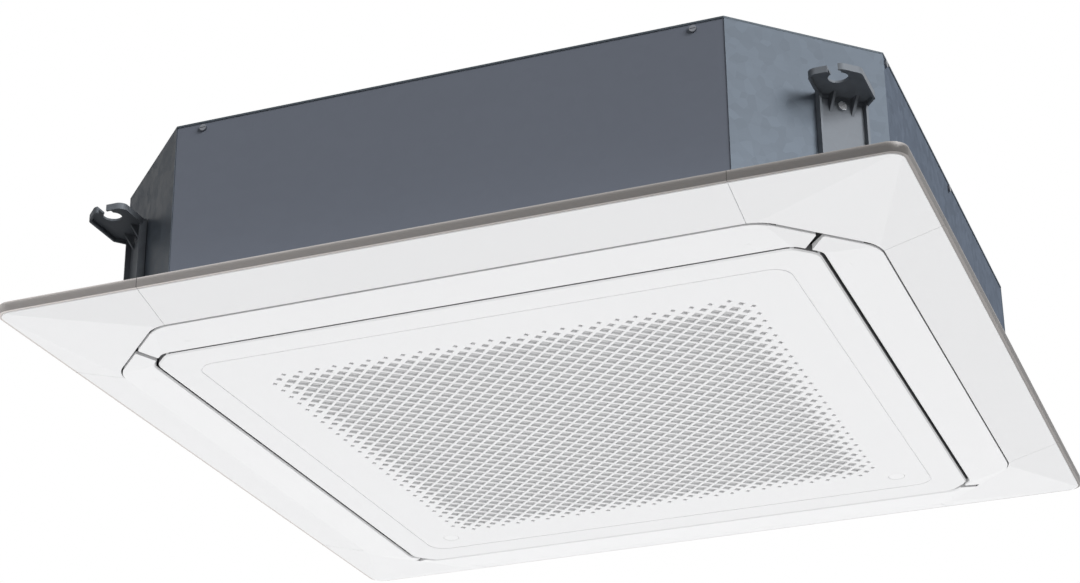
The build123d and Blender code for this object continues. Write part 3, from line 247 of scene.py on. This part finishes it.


def galvanised(name, colour, spangle=0.10, cloud=0.12, roughness=0.42, metallic=0.08, sheen=0.03,
               painted_hem_shade=False, fall=None):
    """Zinc sheet; painted_hem_shade darkens its upright faces as painted shade, fall is an axis and the
    change at its two ends, as painted light.
    """
    f = Finish(name, metallic=metallic)
    f.set(Specular_IOR_Level=sheen)
    crystal = f.grey_of(f.cells(crystals_per_metre, "Color"))
    soft = f.noise(7.0, 4.0)
    rolled = f.noise(3.0, 3.0, f.stretched(1.0, 1.0, 45.0))
    tone = 0.5 + spangle * (crystal - 0.5) + cloud * (soft - 0.5) + 0.5 * cloud * (rolled - 0.5)
    # painted shade: upright faces are made dark
    if painted_hem_shade:
        flat = f.facing("Z").size().above(0.5)
        tone = tone * flat - 0.8 * (1.0 - flat)
    # painted light: fall makes the sheet lighter or darker along one axis of the casing
    if fall:
        axis, at_low, at_high = fall
        tone = tone + at_low + (at_high - at_low) * (0.5 + f.along(axis) * painted_light_fall_per_metre)
    f.set(Base_Color=f.blend(tone, shade(colour, 0.5), shade(colour, 1.5)))
    f.set(Roughness=roughness + 0.12 * (crystal - 0.5) + 0.10 * (soft - 0.5))
    f.bump(f.noise(160.0, 3.0), 0.04 * mm)
    return f.material


def bare_metal(name, colour, roughness=0.3, drift=0.12, metallic=0.9):
    f = Finish(name, metallic=metallic)
    f.set(Base_Color=f.blend(f.noise(60.0, 3.0), shade(colour, 1 - drift), shade(colour, 1 + drift)))
    f.set(Roughness=roughness + 0.2 * (f.noise(120.0, 2.0) - 0.5))
    f.bump(f.noise(900.0, 2.0), 0.02 * mm)
    return f.material


front_sheet = galvanised("coated_front_sheet", (0.135, 0.149, 0.180), spangle=0.02, cloud=0.03)
zinc_sheet = galvanised("galvanised_sheet", (0.155, 0.185, 0.215), spangle=0.16, cloud=0.2)
# painted light and shade: the corner plates darken towards the left, and the right plate is darker throughout
corner_zinc_painted_light = galvanised("corner_sheet", (0.118, 0.140, 0.168), spangle=0.16, cloud=0.2, metallic=0.02,
                         fall=("X", -0.40, 0.05))
right_zinc_painted_light = galvanised("right_sheet", (0.120, 0.143, 0.182), spangle=0.16, cloud=0.2, metallic=0.02,
                        sheen=0.0, fall=("Y", -0.25, -0.22))
# painted shade on the lid's upright hem faces
lid_sheet = galvanised("lid_sheet", (0.155, 0.185, 0.215), painted_hem_shade=True)
bracket_zinc = galvanised("bracket_steel", (0.145, 0.158, 0.175), spangle=0.10, cloud=0.12, roughness=0.5)
bright_zinc = bare_metal("zinc_plated_steel", (0.60, 0.61, 0.63), roughness=0.25)
screw_zinc = bare_metal("dull_screw_zinc", (0.20, 0.21, 0.23), roughness=0.3)
spring_steel = bare_metal("spring_steel", (0.45, 0.45, 0.46))
copper = bare_metal("copper_tube", (0.72, 0.36, 0.22), roughness=0.32, drift=0.2)
motor_paint = bare_metal("motor_housing", (0.25, 0.26, 0.28), roughness=0.45, metallic=0.4)


# %% [markdown]
# ## Foam, rubber, fins and net
# The liner and the drain pan are bead foam: small round beads pressed together, so Voronoi
# distances make the dents between the beads, darkened there as painted shade. The coil's fins
# and the filter's net are regular, so sine waves along the object's own axes draw them; the
# dark gaps between the fins are painted shade.
# %% Soft and inner finishes
def bead_foam(name, colour):
    f = Finish(name, roughness=0.8)
    bead = f.cells(260.0)
    # painted shade: darker into the dents between the beads
    f.set(Base_Color=f.blend(bead, colour, shade(colour, 0.8)))
    f.bump(1.0 - bead, 0.6 * mm)
    return f.material


def soft_rubber(name, colour):
    f = Finish(name)
    dust = f.noise(30.0, 5.0)
    f.set(Base_Color=f.blend(dust, colour, shade(colour, 2.2)))
    f.set(Roughness=0.6 + 0.2 * dust)
    f.bump(f.noise(700.0, 2.0), 0.05 * mm)
    return f.material


fin_pitch = 3.2 * mm
thread_pitch = 2.2 * mm


def wave(f, axis, pitch):
    """A ridge pattern from 0 to 1 along one axis, once per pitch."""
    turn = f.along(axis) * (2 * pi / pitch)
    return 0.5 + 0.5 * f.node("ShaderNodeMath", {"operation": "SINE"}, {0: turn})


def finned(name):
    f = Finish(name, roughness=0.35, metallic=0.8)
    fins = wave(f, "X", fin_pitch) * wave(f, "Y", fin_pitch)
    # painted shade: dark between the fins, where the gaps are shaded
    f.set(Base_Color=f.blend(fins, (0.14, 0.15, 0.16), (0.72, 0.74, 0.76)))
    f.bump(fins, 1.2 * mm)
    return f.material


def net(name, colour):
    f = Finish(name, roughness=0.75)
    threads = wave(f, "X", thread_pitch).power(3.0) + wave(f, "Y", thread_pitch).power(3.0)
    f.set(Base_Color=f.blend(0.5 * threads, shade(colour, 0.88), colour))
    f.bump(threads, 0.1 * mm)
    return f.material


pan_foam = bead_foam("bead_foam", (0.80, 0.80, 0.78))
black_rubber = soft_rubber("black_rubber", (0.018, 0.018, 0.018))
fins = finned("aluminium_fins")
filter_net = net("filter_net", (0.60, 0.60, 0.605))
filter_bars = moulded("filter_frame_plastic", (0.56, 0.56, 0.57), roughness=0.5, drift=0.05)


# %% [markdown]
# ## Finishes on the solids
# Each solid is named for its piece, so a short list of name beginnings is enough to give
# all of them their finish. The list is checked: a solid that nothing names stops the script.
# %% Give every solid its finish
finish_of = {
    "panel_frame": panel_plastic, "corner_cover": panel_plastic, "intake_grille": grille_plastic,
    "latch_button": white_vane, "vane_motors": black_plastic, "vane_": white_vane,
    "edge_band": warm_grey, "panel_seal": pan_foam, "foam_liner": pan_foam, "drain_pan": pan_foam,
    "hinge_pins": spring_steel, "latch_clips": spring_steel, "latch_spring": spring_steel,
    "filter_frame": filter_bars, "filter_mesh": filter_net,
    "side_plate_front": front_sheet, "side_plate_right": right_zinc_painted_light, "side_plate": zinc_sheet,
    "corner_plates": corner_zinc_painted_light, "top_plate": lid_sheet, "pipe_plate": zinc_sheet,
    "control_box": zinc_sheet, "control_cover": zinc_sheet,
    "hanger_bracket": bracket_zinc, "casing_screws": screw_zinc, "bracket_screws": bright_zinc,
    "panel_bolts": bright_zinc, "motor_bolts": bright_zinc, "fan_nut": bright_zinc, "fan_shaft": spring_steel,
    "bell_mouth": pale_plastic, "turbo_fan": pale_plastic, "pump_impeller": pale_plastic,
    "float_switch": black_plastic, "float": pale_plastic, "drain_spigot": pale_plastic,
    "terminal_block": pale_plastic, "circuit_board": black_plastic, "drain_pump": black_plastic,
    "coil_fins": fins, "coil_ends": copper, "gas_pipe": copper, "liquid_pipe": copper,
    "rubber_grommets": black_rubber, "motor_grommets": black_rubber, "drain_hose": black_rubber,
    "motor_lead": black_rubber, "fan_motor": motor_paint,
}
for name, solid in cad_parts.items():
    start = next(key for key in finish_of if name.startswith(key))
    solid.data.materials.clear()
    solid.data.materials.append(finish_of[start])
print("finishes on", len(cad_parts), "solids")


# %% [markdown]
# ## Flat pieces from outlines
# The grille is a flat plate with about fifteen hundred holes. Cutting them one by one with a
# boolean is slow. A 2D curve does it at once: every closed outline inside another one
# becomes a hole, Extrude gives the thickness and Bevel rounds all edges, those of the holes
# included. The curve is turned into a mesh, so that several of them can form one piece.
# A sloping band needs no holes, so it is made straight from two or more outlines.
# %% Outlines and plates
def rounded(points, radius, steps=6):
    """A closed outline with rounded corners, as points of x and y."""
    path = []
    count = len(points)
    for k in range(count):
        here = Vector(points[k])
        before = (Vector(points[k - 1]) - here).normalized()
        after = (Vector(points[(k + 1) % count]) - here).normalized()
        half = acos(before.dot(after)) / 2
        middle = here + (before + after).normalized() * radius / sin(half)
        first = here + before * radius / tan(half) - middle
        last = here + after * radius / tan(half) - middle
        sweep = first.angle_signed(last)
        for n in range(steps + 1):
            path.append(middle + Matrix.Rotation(-sweep * n / steps, 2) @ first)
    return [(p.x, p.y) for p in path]


def square_outline(half, radius):
    return rounded([(half, -half), (half, half), (-half, half), (-half, -half)], radius)


def octagon_outline(half, cut, radius):
    near = half - cut
    corners = [(near, -half), (half, -near), (half, near), (near, half),
               (-near, half), (-half, near), (-half, -near), (-near, -half)]
    return rounded(corners, radius)


def circle_outline(x, y, radius, steps=32):
    turns = [2 * pi * n / steps for n in range(steps)]
    return [(x + radius * cos(turn), y + radius * sin(turn)) for turn in turns]


def box_outline(x0, y0, x1, y1):
    return [(x0, y0), (x1, y0), (x1, y1), (x0, y1)]


def plate(outlines, z0, z1, edge=0.3 * mm, place=None):
    """A flat plate from closed outlines, as a mesh; inner outlines are holes."""
    curve = bpy.data.curves.new("outline", "CURVE")
    curve.dimensions = "2D"
    curve.fill_mode = "BOTH"
    curve.extrude = (z1 - z0) / 2 - edge
    curve.bevel_depth = edge
    curve.bevel_resolution = 1
    curve.offset = -edge
    for points in outlines:
        spline = curve.splines.new("POLY")
        spline.points.add(len(points) - 1)
        spline.points.foreach_set("co", [c for x, y in points for c in (x, y, 0, 1)])
        spline.use_cyclic_u = True
    holder = bpy.data.objects.new("outline", curve)
    bpy.context.scene.collection.objects.link(holder)
    bpy.context.view_layer.update()
    mesh = bpy.data.meshes.new_from_object(holder.evaluated_get(bpy.context.evaluated_depsgraph_get()))
    bpy.data.objects.remove(holder)
    bpy.data.curves.remove(curve)
    mesh.transform((place or Matrix()) @ Matrix.Translation((0, 0, (z0 + z1) / 2)))
    return mesh


def band_of(rings):
    """A closed band through outlines at given heights, all with as many points."""
    shape = bmesh.new()
    rows = [[shape.verts.new((x, y, z)) for x, y in points] for points, z in rings]
    for here, there in zip(rows, rows[1:] + rows[:1]):
        for k in range(len(here)):
            shape.faces.new((here[k - 1], here[k], there[k], there[k - 1]))
    mesh = bpy.data.meshes.new("band")
    shape.to_mesh(mesh)
    shape.free()
    return mesh


def piece(name, meshes, material, body):
    """One object from several meshes, riding on a body."""
    shape = bmesh.new()
    for mesh in meshes:
        shape.from_mesh(mesh)
        bpy.data.meshes.remove(mesh)
    bmesh.ops.remove_doubles(shape, verts=shape.verts, dist=1e-6)
    bmesh.ops.recalc_face_normals(shape, faces=shape.faces)
    made = bpy.data.meshes.new(name)
    shape.to_mesh(made)
    shape.free()
    made.materials.clear()
    made.materials.append(material)
    for face in made.polygons:
        face.material_index = 0
    thing = bpy.data.objects.new(name, made)
    bpy.context.scene.collection.objects.link(thing)
    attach(thing, body)
    return thing


# %% [markdown]
# ## The grille's holes
# The holes stand on a diagonal lattice, as diamonds with a narrow web between them. Along
# the border they shrink over three ranks, and the four corners of the field stay closed, so
# the field fades out instead of ending in a line. A list of all lattice places, with a rule
# for the size of each hole, gives this more surely than an array with holes taken away.
# %% Sizes of the grille, read from its solid where they can be
low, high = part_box("intake_grille")
grille_half = high.x
grille_cut = 21.5 * mm
grille_corner_r = 20 * mm
face_z = low.z
wall = 2.3 * mm
pitch = 9.85 * mm
ranks = 27
full_side = 11.0 * mm


def diamond(i, j):
    """The hole at lattice place (i, j), smaller towards the border; None where there is none."""
    rank = ranks - max(abs(i), abs(j))
    corner = 2 * ranks - abs(i) - abs(j)
    if corner < 2:
        return None
    # the hole's share of the full side grows inwards from the border and from the corners
    size = full_side * min(1.0, 0.42 + 0.21 * rank, 0.22 + 0.16 * corner)
    reach = size / sqrt(2)
    x, y = i * pitch, j * pitch
    return [(x, y - reach), (x + reach, y), (x, y + reach), (x - reach, y)]


lattice = range(-ranks, ranks + 1)
holes = [diamond(i, j) for i in lattice for j in lattice if (i + j) % 2 == 0]
holes = [hole for hole in holes if hole]
print("grille: half width", round(grille_half, 4), "face at", round(face_z, 4), "with", len(holes), "holes")


# %% [markdown]
# ## The grille's face and edge
# The face is one moulding: a field with the holes, a rim round it, a bevel along the rim's
# lower edge and an upturned edge behind it. A fine groove between field and rim is left open
# in the lower plates and closed by a third plate above it, so it has a true depth.
# %% Make the face, its groove and its upturned edge
bevel = 1.5 * mm
fine = 0.05 * mm
flange_top = face_z + 9.5 * mm
wall_top = face_z + wall
line_half, line_r, line_width, line_depth = 323 * mm, 22 * mm, 1.3 * mm, 0.8 * mm
cover_out, cover_in, cover_rise = 4 * mm, 5 * mm, 0.2 * mm  # the plate that closes the groove
latches = [(side * 285 * mm, 286 * mm) for side in (-1, 1)]
button_hole = 9.6 * mm
hinge_x = 220 * mm
notch = 11.1 * mm  # the upturned edge leaves room for the ears on both sides of a hinge lug


def grille_outline(by):
    """The grille's outline moved outwards by a distance."""
    return octagon_outline(grille_half + by, grille_cut + by * (2 - sqrt(2)), grille_corner_r + by)


outer, inner = grille_outline(0), grille_outline(-wall)
lip = [(-bevel, face_z), (0, face_z + bevel), (-wall, wall_top), (-bevel - wall, wall_top)]
rim = [grille_outline(-bevel), square_outline(line_half, line_r)]
field = [square_outline(line_half - line_width, line_r - line_width), *holes]
field += [circle_outline(x, y, button_hole) for x, y in latches]
cover = [square_outline(line_half + cover_out, line_r + cover_out),
         square_outline(line_half - cover_in, line_r - cover_in)]
grille_parts = [
    band_of([(grille_outline(by), z) for by, z in lip]),
    plate(rim, face_z, wall_top, fine),
    plate(field, face_z, wall_top),
    plate(cover, face_z + line_depth, wall_top + cover_rise, 2 * fine),
    plate([outer, inner], face_z + bevel, wall_top, fine),
]
near, far = hinge_x - notch, hinge_x + notch
y0, y1 = -grille_half, wall - grille_half
middle = box_outline(-near, y0, near, y1)
rest = [(far, y0), *outer, (-far, y0), (-far, y1), *inner[::-1], (far, y1)]
for outline in (middle, rest):
    grille_parts.append(plate([outline], wall_top - 2 * fine, flange_top, fine))
print("grille's face and edge:", len(grille_parts), "meshes")


# %% [markdown]
# ## What the grille carries on its back
# Two tubes hold the latch buttons and their springs, three low rails hold the filter, and
# two lugs turn on the hinge pins. They start half a millimetre inside the face, as moulded
# parts do, so that no gap shows at their roots.
# %% Make the tubes, rails and lugs
root_z = wall_top - 0.5 * mm
tube_r, stem_hole = 12.6 * mm, 4.4 * mm
tube_top, roof_low, roof_high = -19.0 * mm, -19.5 * mm, -18.0 * mm
for x, y in latches:
    tube = [circle_outline(x, y, tube_r), circle_outline(x, y, button_hole)]
    roof = [circle_outline(x, y, tube_r), circle_outline(x, y, stem_hole)]
    grille_parts += [plate(tube, root_z, tube_top), plate(roof, roof_low, roof_high)]
rail_in, rail_out, rail_top = 275.5 * mm, 277.5 * mm, wall_top + 7 * mm
rail_front, rail_back, rail_side = -263 * mm, 253 * mm, 245 * mm
for rail in (box_outline(-rail_out, rail_front, -rail_in, rail_back),
             box_outline(rail_in, rail_front, rail_out, rail_back),
             box_outline(-rail_side, -rail_out, rail_side, -rail_in)):
    grille_parts.append(plate([rail], root_z, rail_top))
hinge_y, hinge_z = -350 * mm, -27 * mm
lug_r, lug_half, pin_hole_r = 3.8 * mm, 5 * mm, 2.06 * mm
for x in (-hinge_x, hinge_x):
    lug = [(lug_r * cos(pi * n / 12), lug_r * sin(pi * n / 12)) for n in range(13)]
    lug += [(-lug_r, root_z - hinge_z), (lug_r, root_z - hinge_z)]
    upright = Matrix(((0, 0, 1, x), (1, 0, 0, hinge_y), (0, 1, 0, hinge_z), (0, 0, 0, 1)))
    pin_hole = circle_outline(0, 0, pin_hole_r, 16)
    grille_parts.append(plate([lug, pin_hole], -lug_half, lug_half, place=upright))
grille_panel = piece("grille_panel", grille_parts, grille_plastic, "grille")
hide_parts("intake_grille")
print("grille panel:", len(grille_panel.data.polygons), "faces")


# %% [markdown]
# ## Springs that give way
# Each latch button sits on a coil spring. When the button is pressed the spring gets shorter,
# which no turning or sliding of a rigid mesh can show. A copy of the solid takes its place,
# with a mesh of its own, riding on the grille.
# %% Make the latch springs
for side in ("left", "right"):
    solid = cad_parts[f"latch_spring_{side}"]
    spring = bpy.data.objects.new(f"coil_spring_{side}", solid.data.copy())
    bpy.context.scene.collection.objects.link(spring)
    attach(spring, "grille")
    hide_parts(f"latch_spring_{side}")
    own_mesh(spring)


# %% [markdown]
# ## Floor, flag and world
# The unit is seen from below on plain white. The floor is a pale plane far below it, which
# casts no shadow of its own, so a wide soft lamp can light the panel from below. A black
# flag lies in the ceiling's plane all round the panel, out of the camera's sight: it keeps
# each lamp on its own side, as a real ceiling would. It is of black felt, which gives almost
# no light back. Camera, mirror and glass rays see floor and world as a white of strength 1.
# %% Floor and flag
corners = [(-1, -1), (1, -1), (1, 1), (-1, 1)]
floor_reach, floor_z = 30, -6.2
flag_reach, flag_opening = 6.0, 477 * mm


def sheet(name, points, faces, height):
    """A flat sheet that is part of the studio and not of the unit."""
    mesh = bpy.data.meshes.new(name)
    mesh.from_pydata(points, [], faces)
    thing = bpy.data.objects.new(name, mesh)
    thing.location.z = height
    bpy.context.scene.collection.objects.link(thing)
    return thing


floor_points = [(floor_reach * x, floor_reach * y, 0) for x, y in corners]
floor_sheet = sheet("floor", floor_points, [(0, 1, 2, 3)], floor_z)
floor_sheet.visible_shadow = False
flag_points = [(reach * x, reach * y, 0) for reach in (flag_reach, flag_opening) for x, y in corners]
flag_faces = [(k, (k + 1) % 4, (k + 1) % 4 + 4, k + 4) for k in range(4)]
flag = sheet("black_flag", flag_points, flag_faces, 0)
flag.visible_camera = False
flag.visible_glossy = False
flag.visible_transmission = False
print("floor at", floor_z, "m, flag open by", 2 * flag_opening, "m")


# %% Their finishes, and the world
def seen_as_white(tree, behind, output, emitter):
    """Camera, mirror and glass rays see plain white; the light itself stays as it is."""
    rays = tree.nodes.new("ShaderNodeLightPath")
    seen = rays.outputs["Is Camera Ray"]
    for ray in ("Is Transmission Ray", "Is Glossy Ray"):
        either = tree.nodes.new("ShaderNodeMath")
        either.operation = "MAXIMUM"
        tree.links.new(seen, either.inputs[0])
        tree.links.new(rays.outputs[ray], either.inputs[1])
        seen = either.outputs[0]
    plain = tree.nodes.new(emitter)
    plain.inputs["Strength"].default_value = 1.0
    plain.inputs["Color"].default_value = (1, 1, 1, 1)
    mix = tree.nodes.new("ShaderNodeMixShader")
    tree.links.new(seen, mix.inputs[0])
    tree.links.new(behind, mix.inputs[1])
    tree.links.new(plain.outputs[0], mix.inputs[2])
    tree.links.new(mix.outputs[0], output.inputs["Surface"])


pale_floor = Finish("pale_floor", roughness=0.9)
pale_floor.set(Base_Color=pale_floor.blend(pale_floor.noise(0.5), (0.80, 0.80, 0.80), (0.84, 0.84, 0.84)))
floor_output = pale_floor.tree.nodes["Material Output"]
seen_as_white(pale_floor.tree, pale_floor.shader.outputs[0], floor_output, "ShaderNodeEmission")
floor_sheet.data.materials.append(pale_floor.material)
black_felt = Finish("black_flag", roughness=0.9)
black_felt.set(Base_Color=(0.04, 0.04, 0.04, 1))
flag.data.materials.append(black_felt.material)

world = bpy.data.worlds.new("studio")
world.use_nodes = True
bpy.context.scene.world = world
studio = world.node_tree
sky = studio.nodes["Background"]
sky.inputs["Color"].default_value = (0.97, 0.98, 1.0, 1)
sky.inputs["Strength"].default_value = 0.35
seen_as_white(studio, sky.outputs[0], studio.nodes["World Output"], "ShaderNodeBackground")
print("world light of strength", round(sky.inputs["Strength"].default_value, 2))


# %% [markdown]
# ## Lamps
# A sun has one direction and no distance, so its light does not fall off over the panel. A
# very wide one from below lights the white faces softly. A narrower one from the front
# right and a little above gives the casing's sides their different tones.
# %% Lamps
def sun(name, towards, strength, softness):
    """A sun that shines along a direction; softness is its width in degrees."""
    lamp = bpy.data.lights.new(name, "SUN")
    lamp.energy = strength
    lamp.angle = radians(softness)
    thing = bpy.data.objects.new(name, lamp)
    thing.rotation_mode = "QUATERNION"
    thing.rotation_quaternion = Vector(towards).to_track_quat("-Z", "Y")
    bpy.context.scene.collection.objects.link(thing)


sun("soft_light_from_below", (-0.15, 0.30, 1.0), 3.3, 100)
sun("side_light_on_casing", (-0.86, 0.43, -0.30), 4.3, 35)


# %% [markdown]
# ## Camera
# The panel is a square of known size, so its four corners in the photograph fix the place,
# the direction and the lens of the camera. These numbers come from that fit. The three
# directions of the camera are written as vectors, because angles would hide what they mean.
# %% Camera
camera = bpy.data.cameras.new("camera")
camera.sensor_width = 36
camera.lens = 82.15
camera.dof.use_dof = False
eye = bpy.data.objects.new("camera", camera)
across = Vector((0.93444, 0.35595, -0.01088)).normalized()
ahead = Vector((-0.31872, 0.84955, 0.42034)).normalized()
upward = across.cross(ahead)
eye.matrix_world = Matrix((across, upward, -ahead)).transposed().to_4x4()
eye.location = (0.8541, -2.4227, -1.0543)
bpy.context.scene.collection.objects.link(eye)
bpy.context.scene.camera = eye
bpy.context.scene.view_settings.view_transform = "Standard"
print("camera", round(eye.location.length, 2), "m from the panel's middle")
